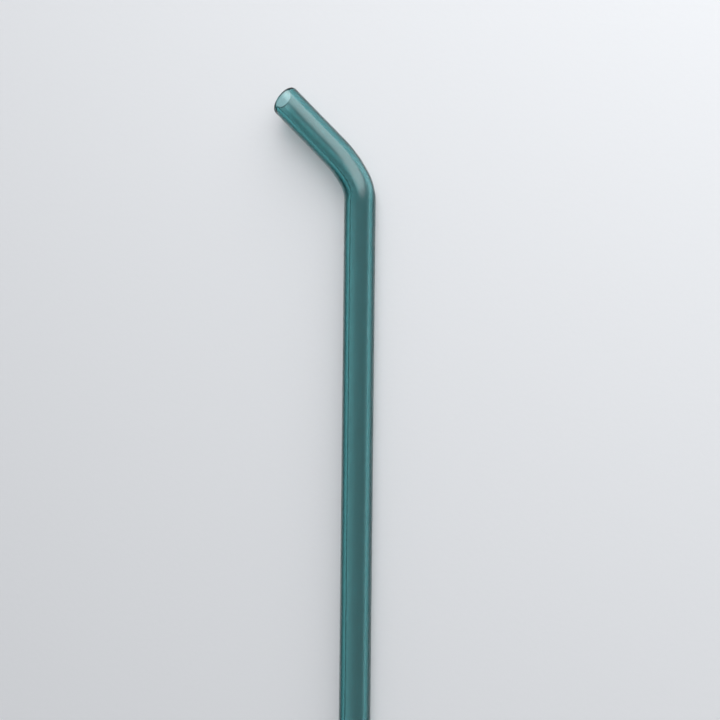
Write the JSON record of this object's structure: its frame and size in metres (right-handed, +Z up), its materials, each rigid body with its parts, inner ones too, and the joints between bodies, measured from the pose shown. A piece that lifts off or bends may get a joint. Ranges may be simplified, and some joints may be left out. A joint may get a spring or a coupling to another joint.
{
  "type": "glass drinking straw",
  "caption": "Reusable drinking straw of clear teal glass tube, bent near the mouth, with rims melted round and a thicker wall inside the bend, lying on its side",
  "frame": {"origin": "on the floor, under the middle of the straw's outline", "axes": "+Y along the leg towards the bend, the mouth on the -X side, +Z up"},
  "size_m": [0.029, 0.1936, 0.008],
  "materials": {
    "tinted_glass": "clear teal, drawn tube, fire polished"
  },
  "bodies": {
    "root": {"straw": "tinted_glass"}
  },
  "joints": []
}
